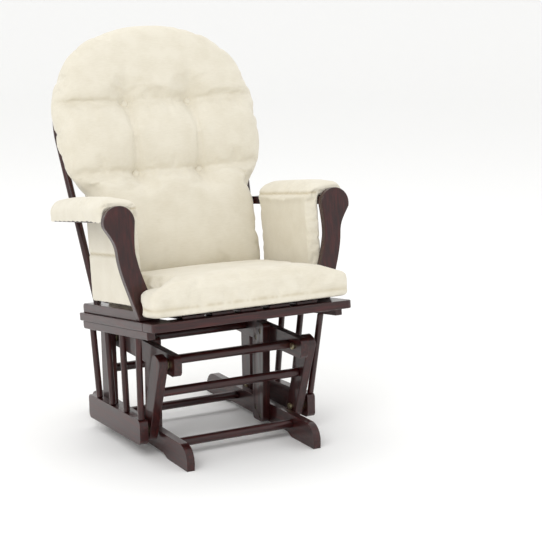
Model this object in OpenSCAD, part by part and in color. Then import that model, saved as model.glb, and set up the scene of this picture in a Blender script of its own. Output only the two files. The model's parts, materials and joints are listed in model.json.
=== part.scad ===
// Glider nursery chair.
// Origin on the floor, in the middle of the overall width and depth. +Z is up, the chair
// faces -Y, and the sitter's left hand is on the +X side. All sizes are millimetres.
// The modules measure y from the middle of the feet; centred() moves it to the origin.

/* [Base] */
// Length of each foot runner, front to back
foot_len = 580; // [460:5:700]
// Height of each foot runner
foot_h = 58; // [48:1:76]
// Radius of the rounded nose and heel of a foot
foot_nose_r = 40; // [25:1:45]
// Length of the pad at each end that touches the floor
foot_pad_len = 108; // [70:1:140]
// Gap under the middle of a foot
foot_relief = 9.5; // [4:0.5:14]
// Board thickness of the feet, posts and top rails
base_t = 20; // [16:1:26]
// Clear width between the inner faces of the two feet
base_inner_w = 324; // [260:2:380]
// Width of each upright post, front to back
post_w = 55; // [40:1:80]
// Distance that the posts stand in front of the middle of the feet
post_forward = 42; // [20:1:60]
// Height of the post above the top of the top rail
post_rise = 8; // [0:1:20]
// Height of each top rail board
top_rail_h = 51; // [44:1:64]
// Length of rail beyond each top pivot
top_rail_over = 40; // [30:1:50]
// Diameter of the round stretchers and link dowels
dowel_d = 22; // [16:1:26]
// Distance of the front foot stretcher from the nose of the feet
foot_stretcher_front_inset = 112; // [80:1:150]
// Distance of the rear foot stretcher from the heel of the feet
foot_stretcher_rear_inset = 177; // [80:1:200]
// Height of the foot stretchers above the floor
foot_stretcher_z = 35; // [26:0.5:44]
// Distance from the front top pivots back to the front top stretcher
top_stretcher_front_gap = 24; // [22:1:60]
// Distance from the rear top pivots forward to the rear top stretcher
top_stretcher_rear_gap = 52; // [22:1:70]

/* [Swing links] */
// Length of a link between its two pivots
link_len = 185; // [150:1:215]
// Distance between the front and rear top pivots
pivot_span = 306; // [260:1:340]
// Distance from the middle of the feet back to the middle of the top pivots
pivot_back = -35; // [-60:1:0]
// Height of the top pivots above the floor
pivot_z = 238; // [225:1:270]
// Lean of the front links at rest, bottom end rearward
front_lean = 18.9; // [12:0.1:24]
// Lean of the rear links at rest, bottom end forward
rear_lean = 2.5; // [0:0.1:8]
// Width of a link board
link_w = 46; // [36:1:56]
// Thickness of a link board
link_t = 23; // [18:1:28]
// Share of the link length from the top pivot to the link dowel
dowel_share = 0.44; // [0.35:0.01:0.6]

/* [Hardware] */
// Thickness of the bearing washer on each side of a link
bearing_t = 8; // [5:0.5:12]
// Diameter of the bearing washer
bearing_d = 28; // [20:1:36]
// Diameter of the pivot bolts
pivot_bolt_d = 8; // [6:0.5:10]
// Radial running clearance of a pivot bolt
running_fit = 0.05; // [0.02:0.01:0.09]
// Radial clearance of the one loose pivot in each side's linkage
loose_fit = 2.5; // [2.4:0.1:4]
// Gap between faces that slide past each other
side_gap = 0.3; // [0.2:0.05:1]
// Diameter of the post bolts
post_bolt_d = 6; // [5:0.5:8]
// Diameter of the post bolt heads
post_head_d = 12; // [10:0.5:14]
// Diameter of the wood screws in the slats
screw_head_d = 8; // [6:0.5:10]

/* [Seat carriage] */
// Height of the moving lower side rails
lower_rail_h = 61; // [50:1:72]
// Thickness of the moving lower side rails
lower_rail_t = 22; // [18:1:26]
// Length of lower rail in front of the front pivot
lower_rail_front = 32; // [30:1:46]
// Length of lower rail behind the rear pivot
lower_rail_rear = 46; // [30:1:56]
// Number of spindles on each side
spindle_n = 4; // [3:1:6]
// Diameter of the spindles
spindle_d = 16; // [12:1:18]
// Distance of the first spindle's foot from the front of the lower rail
spindle_low_front = 15; // [12:1:40]
// Distance of the last spindle's foot from the rear of the lower rail
spindle_low_rear = 52; // [14:1:70]
// Distance of the first spindle's head from the front of the apron
spindle_high_front = 74; // [20:1:90]
// Distance of the last spindle's head from the rear of the apron
spindle_high_rear = 28; // [14:1:60]
// Backward tilt of the seat deck in degrees
seat_tilt = 8.1; // [4:0.1:12]
// Height of the seat deck above the origin
deck_z = 323.5; // [318:0.5:360]
// Overall width of the seat deck
deck_w = 532; // [500:2:600]
// Distance from the origin forward to the front edge of the deck
deck_front = 299; // [270:1:320]
// Distance from the origin back to the rear edge of the deck
deck_rear = 150; // [146:1:190]
// Thickness of the deck rails
deck_t = 20; // [16:1:26]
// Width of the deck's front rail
front_rail_w = 62; // [50:1:90]
// Width of the deck's side rails
side_rail_w = 66; // [56:1:70]
// Radius of the two front corners
corner_r = 14; // [10:1:34]
// Height of the side aprons under the deck
apron_h = 20; // [16:1:30]
// Thickness of the side aprons
apron_t = 20; // [18:1:24]
// Distance that an apron is set in from the edge of the deck
apron_inset = 4; // [3:1:12]
// Number of seat slats
slat_n = 5; // [4:1:6]
// Width of a seat slat
slat_w = 57; // [40:1:66]
// Thickness of a seat slat
slat_t = 9; // [7:0.5:12]

/* [Arms] */
// Distance that the arm base rails are set in from the edge of the deck
arm_base_inset = 8; // [2:1:14]
// Height of the rails that carry the arms and back
arm_base_h = 23.5; // [18:0.5:32]
// Width of the rails that carry the arms and back
arm_base_w = 40; // [34:1:46]
// Height of the top of the arm boards above the deck
arm_h = 253; // [220:1:275]
// Width of an arm board
arm_w = 52; // [46:1:70]
// Thickness of an arm board
arm_t = 20; // [16:1:26]
// Distance from the origin back to the rear end of the arm boards
arm_rear = 184; // [160:1:210]
// Radius of the rear corners of the arm boards
arm_corner_r = 22; // [6:1:22]
// Thickness of the shaped front arm posts
arm_post_t = 20; // [16:1:30]
// Radius of the round head of an arm post
arm_head_r = 39; // [34:1:48]
// Height of the top of an arm post above the arm board
arm_post_rise = 19; // [6:1:30]
// Width of the foot of an arm post
arm_post_foot = 52; // [44:1:60]
// Outward offset of an arm post's head from its foot
arm_flare = 58; // [46:1:66]
// Distance from the front edge of the deck to an arm post
arm_post_set = 90; // [84:1:110]

/* [Back] */
// Lean of the back behind a line square to the deck
back_lean = 13.4; // [8:0.1:18]
// Distance from the rear edge of the deck to the back
back_set = 34; // [28:1:44]
// Radius of the top hoop of the back bow
bow_r = 260; // [248:1:272]
// Height of the hoop's centre above the foot of the bow
bow_centre = 438; // [360:2:480]
// Half the spread of the feet of the bow
bow_foot_x = 229; // [226:1:234]
// Diameter of the back bow
bow_d = 19; // [16:1:22]
// Number of spindles in the back
back_spindle_n = 6; // [4:1:8]
// Diameter of the spindles in the back
back_spindle_d = 12; // [9:0.5:14]
// Distance between neighbouring back spindles
back_spindle_pitch = 70; // [50:1:72]

/* [Cushions] */
// Thickness of the seat cushion
seat_pad_t = 68; // [56:1:90]
// Half width of the seat cushion in front of the arm posts
seat_ear_x = 260; // [252:1:268]
// Half width of the seat cushion behind the arm posts
seat_pad_x = 214; // [190:1:216]
// Distance from the origin back to the rear of the seat cushion
seat_pad_rear = 98; // [80:1:104]
// Thickness of the back cushion
back_pad_t = 84; // [60:1:110]
// Half width of the back cushion
back_pad_x = 288; // [276:1:292]
// Half width of the back cushion at its bottom edge
back_pad_foot_x = 232; // [210:1:236]
// Distance that the front and rear faces of the back cushion are drawn in at the edge
back_pad_draw = 20; // [6:1:30]
// Height of the top of the back cushion above the foot of the bow
back_pad_top = 708; // [700:1:740]
// Distance of each button from the middle line
button_x = 89; // [60:1:120]
// Height of the lower buttons above the foot of the bow
button_low = 305; // [250:1:330]
// Height of the upper buttons above the foot of the bow
button_high = 492; // [430:1:520]
// Diameter of a cushion button
button_d = 20; // [14:1:28]
// Depth of the buttons behind the front of the back cushion
button_sink = 46; // [10:1:50]
// Thickness of the pad on top of an arm
arm_pad_t = 26; // [14:1:36]
// Length of the arm board that is left bare behind its pad
arm_pad_short = 44; // [10:1:70]
// Thickness of the pad's flap outside an arm
arm_flap_t = 12; // [8:1:16]
// Thickness of the pad that hangs inside an arm
arm_panel_t = 20; // [14:1:24]
// Clearance between soft pieces and their neighbours
soft_gap = 0.5; // [0.3:0.1:2]

/* [Hidden] */
$fn = 64;

SIDE_WOOD = "#3F2A28";
FRONT_WOOD = "#4A2326";
CLOTH = "#E8E2CF";
ZINC = "#B9B39A";
BIG = 2000;

// Base, side to side
base_x = base_inner_w / 2;
post_x = base_x - base_t;
top_rail_z = pivot_z - top_rail_h / 2;
post_top = top_rail_z + top_rail_h + post_rise;
post_y = -post_forward - post_w / 2;

// Linkage, in the side view: [y, z]
front_top = [pivot_back - pivot_span / 2, pivot_z];
rear_top = [pivot_back + pivot_span / 2, pivot_z];
front_bottom = front_top + link_len * [sin(front_lean), -cos(front_lean)];
rear_bottom = rear_top + link_len * [-sin(rear_lean), -cos(rear_lean)];
lower_run = rear_bottom - front_bottom;
lower_span = norm(lower_run);
lower_tilt = atan2(-lower_run[1], lower_run[0]);
lower_lift = 3;

// Linkage, side to side
link_x = base_x + base_t + bearing_t;
lower_rail_x = link_x + link_t + bearing_t;
bolt_head_d = 17;
bolt_head_t = 5;
bolt_grip = 15;
bolt_end_gap = 1;

// Deck, in its own tilted frame: x across, v back, w up
deck_len = deck_front + deck_rear;
apron_x = deck_w / 2 - apron_inset - apron_t;
apron_rear_cut = 10;
apron_front_set = 46;
apron_corner_r = 8;
slat_pitch = (deck_w - 2 * side_rail_w) / slat_n - 4;
slat_front_set = 22;
rear_rail_w = 60;
back_rail_w = 46;
slat_rear_gap = 1;
slat_run = deck_front - slat_front_set + deck_rear - back_rail_w - slat_rear_gap;
arm_base_x = deck_w / 2 - arm_base_inset - arm_base_w;

// Arms and back
arm_post_v = -deck_front + arm_post_set;
arm_post_x = arm_base_x + arm_base_w - arm_post_foot;
arm_head_x = arm_post_x + arm_post_foot / 2 + arm_flare;
arm_head_w = arm_h + arm_post_rise - arm_head_r;
back_v = deck_rear - back_set;
bow_skew = atan2(bow_centre, bow_foot_x) - acos(bow_r / norm([bow_foot_x, bow_centre]));
bow_leg = (bow_centre - bow_r * sin(bow_skew)) / cos(bow_skew);
function bow_x(w) = bow_foot_x + (w - arm_base_h) / cos(back_lean) * tan(bow_skew);
// The legs are turned thinner than the hoop by bow_step, and start bow_lap inside it
bow_step = 0.1;
bow_lap = 1;
bow_spare = 30;
bow_half = bow_d / 2 / cos(bow_skew);
board_gap = 0.2;
arm_screw_d = 6;
arm_screw_head_d = 11;
arm_screw_head_t = 3;
bow_at_arm = bow_x(arm_h - arm_t / 2);
arm_board_x = bow_x(arm_h) + bow_half + board_gap;
arm_screw_seat = bow_at_arm - bow_half - arm_screw_head_d / 2 * tan(bow_skew) - board_gap;
spindle_fit = 0.1;

// Overall depth: from the deck's lower front edge to the back of the bow's hoop
front_reach = -deck_front * cos(seat_tilt) - deck_t * sin(seat_tilt);
rear_reach = back_v * cos(seat_tilt) + arm_base_h * sin(seat_tilt)
    + (bow_centre + bow_r) * sin(seat_tilt + back_lean) + bow_d / 2;

// Small shapes -------------------------------------------------------------

// A flat rectangle with rounded corners, its lowest corner at the origin
module round_rect(size, r) {
    translate([r, 0]) square([size[0] - 2 * r, size[1]]);
    translate([0, r]) square([size[0], size[1] - 2 * r]);
    for (x = [r, size[0] - r], y = [r, size[1] - r]) translate([x, y]) circle(r);
}

// Stands a flat outline drawn in [y, z] up at x, with thickness t towards +X
module side_board(x, t) {
    translate([x, 0, 0]) rotate([90, 0, 90]) linear_extrude(t) children();
}

// A rod along X
module cross_rod(x0, x1, yz, d) {
    translate([x0, yz[0], yz[1]]) rotate([0, 90, 0]) cylinder(h = x1 - x0, d = d);
}

// A rod between any two points
module rod(a, b, d) {
    run = b - a;
    translate(a) rotate([0, acos(run[2] / norm(run)), atan2(run[1], run[0])])
        cylinder(h = norm(run), d = d);
}

// The same shape on the sitter's right
module right() {
    mirror([1, 0, 0]) children();
}

// The shape on both sides
module both() {
    children();
    right() children();
}

// The seat deck's own frame: its top face is w = 0
module deck() {
    translate([0, 0, deck_z]) rotate([-seat_tilt, 0, 0]) children();
}

// The back's own frame: the bow lies in its y = 0 plane, and z runs up the back
module back() {
    deck() translate([0, back_v, arm_base_h]) rotate([-back_lean, 0, 0]) children();
}

// The lower rails' own frame: the front bottom pivot is its origin
module lower() {
    translate([0, front_bottom[0], front_bottom[1]]) rotate([-lower_tilt, 0, 0]) children();
}

// From the middle of the feet to the middle of the overall depth
module centred() {
    translate([0, -(front_reach + rear_reach) / 2, 0]) children();
}

// Base ---------------------------------------------------------------------

// Side outline of a foot: round top corners at both ends, relieved underneath
module foot_outline() {
    end = foot_len / 2 - foot_nose_r;
    pad = foot_len / 2 - foot_pad_len;
    slope = foot_relief * 2.4;
    difference() {
        union() {
            translate([-end, 0]) square([2 * end, foot_h]);
            translate([-foot_len / 2, 0]) square([foot_len, foot_h - foot_nose_r]);
            intersection() {
                for (s = [-1, 1]) translate([s * end, foot_h - foot_nose_r]) circle(foot_nose_r);
                translate([-foot_len / 2, 0]) square([foot_len, foot_h]);
            }
        }
        polygon([[-pad, -1], [-pad, 0], [-pad + slope, foot_relief],
            [pad - slope, foot_relief], [pad, 0], [pad, -1]]);
    }
}

// The four bolt places of one post: two low in the foot, two high in the top rail
function post_bolt_places() = [
    [post_y + post_w * 0.3, foot_h * 0.42], [post_y + post_w * 0.7, foot_h * 0.72],
    [post_y + post_w * 0.3, top_rail_z + top_rail_h * 0.7],
    [post_y + post_w * 0.7, top_rail_z + top_rail_h * 0.3]];

// Holes for the post bolts, through the post and part of the board outside it
module post_bolt_holes() {
    for (p = post_bolt_places()) {
        cross_rod(post_x - 1, base_x + base_t * 0.75, p, post_bolt_d + 0.2);
        cross_rod(post_x - 1, post_x + 5, p, post_head_d + 1);
    }
}

module foot() {
    color(SIDE_WOOD) difference() {
        side_board(base_x, base_t) foot_outline();
        post_bolt_holes();
    }
}

module post() {
    color(FRONT_WOOD) difference() {
        side_board(post_x, base_t) translate([post_y, foot_relief])
            round_rect([post_w, post_top - foot_relief], 11);
        post_bolt_holes();
    }
}

module post_bolt_set() {
    color(ZINC) for (p = post_bolt_places()) {
        cross_rod(post_x + 5, base_x + base_t * 0.75 - 1, p, post_bolt_d);
        cross_rod(post_x + 1, post_x + 5, p, post_head_d);
    }
}

module top_rail() {
    color(SIDE_WOOD) difference() {
        side_board(base_x, base_t) translate([front_top[0] - top_rail_over, top_rail_z])
            round_rect([pivot_span + 2 * top_rail_over, top_rail_h], 14);
        for (p = [front_top, rear_top])
            cross_rod(base_x - 1, base_x + base_t + 1, p, pivot_bolt_d + 2 * running_fit);
        post_bolt_holes();
    }
}

module stretcher(y, z) {
    color(FRONT_WOOD) cross_rod(-base_x, base_x, [y, z], dowel_d);
}

// Swing links --------------------------------------------------------------

// One link board between its top and bottom pivots, with rounded ends
module link(top, bottom) {
    run = bottom - top;
    color(SIDE_WOOD) difference() {
        translate([0, top[0], top[1]]) rotate([atan2(run[0], -run[1]), 0, 0])
            side_board(link_x, link_t) translate([-link_w / 2, -link_len - link_w / 2])
                round_rect([link_w, link_len + link_w], link_w * 0.38);
        cross_rod(link_x - 1, link_x + bolt_grip, top, pivot_bolt_d);
        cross_rod(link_x - 1, link_x + link_t + 1, bottom, pivot_bolt_d);
    }
}

module link_dowel(top, bottom) {
    color(FRONT_WOOD) cross_rod(-link_x, link_x, top + dowel_share * (bottom - top), dowel_d);
}

// Bearing washers of one link, one on each face
module link_bearings(top, bottom) {
    bore = pivot_bolt_d + 0.2;
    color(ZINC) difference() {
        cross_rod(link_x - bearing_t + side_gap, link_x, top, bearing_d);
        cross_rod(link_x - bearing_t, link_x + 1, top, bore);
    }
    color(ZINC) difference() {
        cross_rod(link_x + link_t, lower_rail_x - side_gap, bottom, bearing_d);
        cross_rod(link_x + link_t - 1, lower_rail_x, bottom, bore);
    }
}

// Pivot bolts of one link: the top one runs in the top rail, the bottom one in the lower rail
module link_bolts(top, bottom) {
    color(ZINC) {
        cross_rod(base_x - side_gap - bolt_head_t, base_x - side_gap, top, bolt_head_d);
        cross_rod(base_x - side_gap, link_x + bolt_grip, top, pivot_bolt_d);
        cross_rod(link_x - bolt_head_t, link_x, bottom, bolt_head_d);
        cross_rod(link_x, lower_rail_x + bolt_grip - bolt_end_gap, bottom, pivot_bolt_d);
    }
}

// Seat carriage ------------------------------------------------------------

module lower_rail() {
    color(SIDE_WOOD) lower() difference() {
        side_board(lower_rail_x, lower_rail_t)
            translate([-lower_rail_front, lower_lift - lower_rail_h / 2])
                round_rect([lower_rail_front + lower_span + lower_rail_rear, lower_rail_h], 12);
        cross_rod(lower_rail_x - 1, lower_rail_x + bolt_grip, [0, 0],
            pivot_bolt_d + 2 * running_fit);
        cross_rod(lower_rail_x - 1, lower_rail_x + bolt_grip, [lower_span, 0],
            pivot_bolt_d + 2 * loose_fit);
    }
}

// Side spindles: a fan that closes slightly towards the lower rail
module spindles() {
    low = [front_bottom[0] - lower_rail_front + spindle_low_front,
        front_bottom[0] + lower_span + lower_rail_rear - spindle_low_rear];
    high = [-deck_front + apron_front_set + spindle_high_front,
        deck_rear - apron_rear_cut - spindle_high_rear];
    color(FRONT_WOOD) difference() {
        for (i = [0 : spindle_n - 1]) {
            s = i / (spindle_n - 1);
            rod([lower_rail_x + lower_rail_t / 2, low[0] + s * (low[1] - low[0]), foot_h],
                [apron_x + apron_t / 2, high[0] + s * (high[1] - high[0]), deck_z + 30],
                spindle_d);
        }
        lower() translate([0, -BIG / 2, lower_lift + lower_rail_h / 2 - BIG])
            cube([BIG, BIG, BIG]);
        deck() translate([0, -BIG / 2, -deck_t - apron_h]) cube([BIG, BIG, BIG]);
    }
}

module apron() {
    v0 = -deck_front + apron_front_set;
    run = deck_rear - apron_rear_cut - v0;
    color(SIDE_WOOD) deck() side_board(apron_x, apron_t)
        translate([v0, -deck_t - apron_h]) difference() {
            square([run, apron_h]);
            translate([run - apron_corner_r, 0]) difference() {
                translate([0, -1]) square([apron_corner_r + 1, apron_corner_r + 1]);
                translate([0, apron_corner_r]) circle(apron_corner_r);
            }
        }
}

module deck_front_rail() {
    color(FRONT_WOOD) deck() translate([-deck_w / 2, -deck_front, -deck_t])
        linear_extrude(deck_t) {
            translate([corner_r, 0]) square([deck_w - 2 * corner_r, front_rail_w]);
            translate([0, corner_r]) square([deck_w, front_rail_w - corner_r]);
            for (x = [corner_r, deck_w - corner_r]) translate([x, corner_r]) circle(corner_r);
        }
}

module deck_side_rail() {
    color(SIDE_WOOD) deck()
        translate([deck_w / 2 - side_rail_w, -deck_front + front_rail_w, -deck_t])
            cube([side_rail_w, deck_len - front_rail_w, deck_t]);
}

module deck_rear_rail() {
    color(SIDE_WOOD) deck()
        translate([-deck_w / 2 + side_rail_w, deck_rear - rear_rail_w, -deck_t])
            cube([deck_w - 2 * side_rail_w, rear_rail_w, deck_t]);
}

// Middle of seat slat i
function slat_x(i) = (i - (slat_n - 1) / 2) * slat_pitch;

module seat_slats() {
    color(SIDE_WOOD) deck() for (i = [0 : slat_n - 1])
        translate([slat_x(i) - slat_w / 2, -deck_front + slat_front_set, 0])
            cube([slat_w, slat_run, slat_t]);
}

module slat_screws() {
    color(ZINC) deck() for (i = [0 : slat_n - 1], s = [-1, 1],
            v = [-deck_front + slat_front_set + 18, -deck_front + slat_front_set + slat_run - 10])
        translate([slat_x(i) + s * slat_w / 4, v, slat_t])
            cylinder(h = 0.8, d = screw_head_d);
}

// Arms ---------------------------------------------------------------------

module arm_base() {
    v0 = arm_post_v + arm_post_t;
    color(SIDE_WOOD) deck() side_board(arm_base_x, arm_base_w)
        translate([v0, 0]) round_rect_rear([deck_rear - 8 - v0, arm_base_h], 9);
}

// A rectangle whose upper rear corner is rounded
module round_rect_rear(size, r) {
    square([size[0] - r, size[1]]);
    square([size[0], size[1] - r]);
    translate([size[0] - r, size[1] - r]) circle(r);
}

// A cubic curve through four control points, without its last point
function curve(p, n = 9) = [for (i = [0 : n - 1]) let (t = i / n, u = 1 - t)
    u * u * u * p[0] + 3 * u * u * t * p[1] + 3 * u * t * t * p[2] + t * t * t * p[3]];

// Front outline of an arm post: a narrow foot, an S-shaped stem and a round head
module arm_post_outline() {
    out = arm_post_x + arm_post_foot;
    in = arm_post_x;
    head = [arm_head_x, arm_head_w];
    waist = arm_head_w * 0.7;
    neck_out = [arm_head_x + arm_head_r * 0.26, waist];
    neck_in = [arm_head_x - arm_head_r * 0.94, waist * 0.9];
    stop = -14;
    end_out = head + arm_head_r * [cos(stop), sin(stop)];
    polygon(concat(
        curve([[out, 0], [out + 17, waist * 0.38], neck_out - [2, waist * 0.3], neck_out]),
        curve([neck_out, neck_out + [2, 26], end_out - [12, 20], end_out]),
        [for (a = [stop : 8 : 178]) head + arm_head_r * [cos(a), sin(a)]],
        curve([head - [arm_head_r, 0], head - [arm_head_r - 3, 26], neck_in + [6, 22],
            neck_in]),
        curve([neck_in, neck_in - [9, waist * 0.3], [in + 14, waist * 0.3], [in, 0]]),
        [[in, 0]]));
}

module arm_post() {
    color(FRONT_WOOD) deck() translate([0, arm_post_v + arm_post_t, 0]) rotate([90, 0, 0])
        linear_extrude(arm_post_t) arm_post_outline();
}

// The arm board, butted behind its post and screwed to the bow
module arm_board() {
    v0 = arm_post_v + arm_post_t;
    r = arm_corner_r;
    color(SIDE_WOOD) difference() {
        deck() translate([arm_board_x, v0, arm_h - arm_t]) linear_extrude(arm_t) {
            square([arm_w, arm_rear - v0 - r]);
            translate([r, 0]) square([arm_w - 2 * r, arm_rear - v0]);
            for (x = [r, arm_w - r]) translate([x, arm_rear - v0 - r]) circle(r);
        }
        arm_screw_rod(bow_at_arm, arm_board_x + arm_w / 2, arm_screw_d + 0.2);
    }
}

// A round through the bow and into the middle of the arm board's edge
module arm_screw_rod(x0, x1, d) {
    s = (arm_h - arm_t / 2 - arm_base_h) / cos(back_lean);
    back() cross_rod(x0, x1, [0, s], d);
}

module arm_screw() {
    color(ZINC) {
        arm_screw_rod(arm_screw_seat, arm_board_x + arm_w / 2 - 1, arm_screw_d);
        arm_screw_rod(arm_screw_seat - arm_screw_head_t, arm_screw_seat, arm_screw_head_d);
    }
}

// Back ---------------------------------------------------------------------

// The bent hoop and its two slightly splayed legs
module bow_shape() {
    back() {
        translate([0, 0, bow_centre]) rotate([90, 0, 0]) rotate([0, 0, -bow_skew])
            rotate_extrude(angle = 180 + 2 * bow_skew) translate([bow_r, 0]) circle(d = bow_d);
        both() translate([bow_r * cos(bow_skew), 0, bow_centre - bow_r * sin(bow_skew)])
            rotate([0, 180 + bow_skew, 0]) translate([0, 0, -bow_lap])
                cylinder(h = bow_leg + bow_spare + bow_lap, d = bow_d - 2 * bow_step);
    }
}

// Everything at or below height w of the deck
module below_deck(w) {
    deck() translate([-BIG / 2, -BIG / 2, w - BIG]) cube([BIG, BIG, BIG]);
}

// Middle of back spindle i, and its height where it meets the hoop
function back_spindle_x(i) = (i - (back_spindle_n - 1) / 2) * back_spindle_pitch;
function hoop_height(x) = bow_centre + sqrt(bow_r * bow_r - x * x);

module back_bow() {
    color(FRONT_WOOD) difference() {
        bow_shape();
        below_deck(arm_base_h);
        both() arm_screw_rod(bow_at_arm - bow_d, arm_board_x, arm_screw_d + 0.2);
        back() for (i = [0 : back_spindle_n - 1])
            translate([back_spindle_x(i), 0, bow_centre])
                cylinder(h = hoop_height(back_spindle_x(i)) - bow_centre,
                    d = back_spindle_d + 2 * spindle_fit);
    }
}

module back_spindles() {
    color(FRONT_WOOD) difference() {
        back() for (i = [0 : back_spindle_n - 1]) translate([back_spindle_x(i), 0, -60])
            cylinder(h = hoop_height(back_spindle_x(i)) + 60, d = back_spindle_d);
        below_deck(arm_base_h);
    }
}

module back_foot_rail() {
    color(SIDE_WOOD) deck() translate([-arm_base_x, deck_rear - back_rail_w, 0])
        cube([2 * arm_base_x, back_rail_w - 8, arm_base_h]);
}

// Cushions -----------------------------------------------------------------

// The seat cushion's flat outline, with ears in front of the arm posts
module seat_cushion_outline() {
    front = -deck_front + 2;
    ear = arm_post_v - 2;
    slot = arm_post_x - 6;
    polygon([[-seat_ear_x, front], [seat_ear_x, front], [seat_ear_x, ear], [slot, ear],
        [slot, ear + arm_post_t + 6], [seat_pad_x, ear + arm_post_t + 16],
        [seat_pad_x, seat_pad_rear], [-seat_pad_x, seat_pad_rear],
        [-seat_pad_x, ear + arm_post_t + 16], [-slot, ear + arm_post_t + 6],
        [-slot, ear], [-seat_ear_x, ear]]);
}

module seat_cushion() {
    color(CLOTH) deck() translate([0, 0, slat_t + 0.8 + soft_gap])
        linear_extrude(seat_pad_t) seat_cushion_outline();
}

// The back cushion's outline, drawn in all round by d: a broad round top on tapering sides
module back_cushion_outline(d) {
    r = back_pad_top - back_pad_mid - d;
    x = back_pad_x - d;
    foot = back_pad_foot_x - d;
    n = 2 / back_pad_power;
    side = [x - back_pad_taper, back_pad_mid - back_pad_side];
    waist = [foot + back_pad_flare, back_pad_mid - back_pad_waist];
    polygon(concat(
        [for (a = [0 : 6 : 180])
            [x * pow(abs(cos(a)), n) * sign(cos(a)), back_pad_mid + r * pow(sin(a), n)]],
        [[-side[0], side[1]], [-waist[0], waist[1]], [-foot, d], [foot, d], waist, side]));
}

// Power of the curve round the top, and the height of that round part
back_pad_power = 2.35;
back_pad_mid = back_pad_top - 254;
// The sides keep their width down to back_pad_side below the round part, then narrow to the waist
back_pad_side = 90;
back_pad_taper = 4;
back_pad_waist = 210;
back_pad_flare = 22;
// Shares of the thickness between which the back cushion is at its full width
back_pad_front_share = 0.22;
back_pad_rear_share = 0.82;
button_t = 5;

// One layer of the back cushion, from depth a to depth b behind its front face
module back_layer(a, b, d) {
    translate([0, b - bow_d / 2 - soft_gap - back_pad_t, 0]) rotate([90, 0, 0])
        linear_extrude(b - a) back_cushion_outline(d);
}

function button_places() = [for (x = [-button_x, button_x], s = [button_low, button_high])
    [x, s]];

// The back cushion leans on the bow and stands on the seat cushion
module back_cushion() {
    front = -bow_d / 2 - soft_gap - back_pad_t;
    color(CLOTH) difference() {
        back() {
            back_layer(0, back_pad_t, back_pad_draw);
            back_layer(back_pad_t * back_pad_front_share, back_pad_t * back_pad_rear_share, 0);
        }
        below_deck(slat_t + 0.8 + 2 * soft_gap + seat_pad_t);
        back() for (p = button_places()) translate([p[0], front - 1, p[1]])
            rotate([-90, 0, 0]) cylinder(h = 1 + button_sink, d = button_d + 2);
        both() arm_pad_space();
    }
}

module cushion_buttons() {
    front = -bow_d / 2 - soft_gap - back_pad_t;
    color(CLOTH) back() for (p = button_places())
        translate([p[0], front + button_sink - button_t, p[1]]) rotate([-90, 0, 0])
            cylinder(h = button_t, d = button_d);
}

arm_pad_rear = arm_rear - arm_pad_short;
arm_panel_rear = back_v - bow_d - 4;
arm_panel_x = arm_base_x + arm_base_w - arm_panel_t;

// Room that the back cushion leaves for the arm pads
module arm_pad_space() {
    deck() translate([arm_panel_x - 3, arm_post_v, arm_base_h])
        cube([120, arm_pad_rear + 4 - arm_post_v, arm_h + arm_pad_t + 3 - arm_base_h]);
}

// A saddle over the arm board: a short flap outside and a long panel inside
module arm_pad() {
    v0 = arm_post_v + arm_post_t + soft_gap;
    out = arm_board_x + arm_w + soft_gap;
    in = arm_board_x - soft_gap;
    top = arm_h + soft_gap;
    color(CLOTH) deck() difference() {
        union() {
            translate([in - arm_panel_t + 4, v0, top])
                cube([out + arm_flap_t - in + arm_panel_t - 4, arm_pad_rear - v0, arm_pad_t]);
            translate([out, v0, arm_h - arm_t]) cube([arm_flap_t, arm_pad_rear - v0, arm_t + 1]);
            translate([arm_panel_x, v0, arm_base_h + 4])
                cube([in - arm_panel_x, arm_panel_rear - v0, arm_h - arm_base_h - 3]);
        }
        translate([0, arm_panel_rear, arm_base_h])
            cube([bow_x(arm_h + arm_pad_t) + bow_half + 2, BIG, BIG]);
    }
}

// Assembly -----------------------------------------------------------------

centred() foot();  // foot_left
centred() right() foot();  // foot_right
centred() post();  // post_left
centred() right() post();  // post_right
centred() top_rail();  // top_rail_left
centred() right() top_rail();  // top_rail_right
centred()  // foot_stretcher_front
    stretcher(-foot_len / 2 + foot_stretcher_front_inset, foot_stretcher_z);
centred()  // foot_stretcher_rear
    stretcher(foot_len / 2 - foot_stretcher_rear_inset, foot_stretcher_z);
centred()  // top_stretcher_front
    stretcher(front_top[0] + top_stretcher_front_gap, pivot_z);
centred()  // top_stretcher_rear
    stretcher(rear_top[0] - top_stretcher_rear_gap, pivot_z);
centred() both() post_bolt_set();  // post_bolts
centred() link(front_top, front_bottom);  // front_link_left
centred() right() link(front_top, front_bottom);  // front_link_right
centred() link_dowel(front_top, front_bottom);  // front_link_dowel
centred() both() link_bearings(front_top, front_bottom);  // front_bearings
centred() both() link_bolts(front_top, front_bottom);  // front_pivot_bolts
centred() link(rear_top, rear_bottom);  // rear_link_left
centred() right() link(rear_top, rear_bottom);  // rear_link_right
centred() link_dowel(rear_top, rear_bottom);  // rear_link_dowel
centred() both() link_bearings(rear_top, rear_bottom);  // rear_bearings
centred() both() link_bolts(rear_top, rear_bottom);  // rear_pivot_bolts
centred() lower_rail();  // lower_rail_left
centred() right() lower_rail();  // lower_rail_right
centred() spindles();  // spindles_left
centred() right() spindles();  // spindles_right
centred() apron();  // apron_left
centred() right() apron();  // apron_right
centred() deck_front_rail();
centred() deck_side_rail();  // deck_side_rail_left
centred() right() deck_side_rail();  // deck_side_rail_right
centred() deck_rear_rail();
centred() seat_slats();
centred() slat_screws();
centred() arm_base();  // arm_base_left
centred() right() arm_base();  // arm_base_right
centred() arm_post();  // arm_post_left
centred() right() arm_post();  // arm_post_right
centred() arm_board();  // arm_board_left
centred() right() arm_board();  // arm_board_right
centred() both() arm_screw();  // arm_screws
centred() back_foot_rail();
centred() back_bow();
centred() back_spindles();
centred() seat_cushion();
centred() back_cushion();
centred() cushion_buttons();
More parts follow.
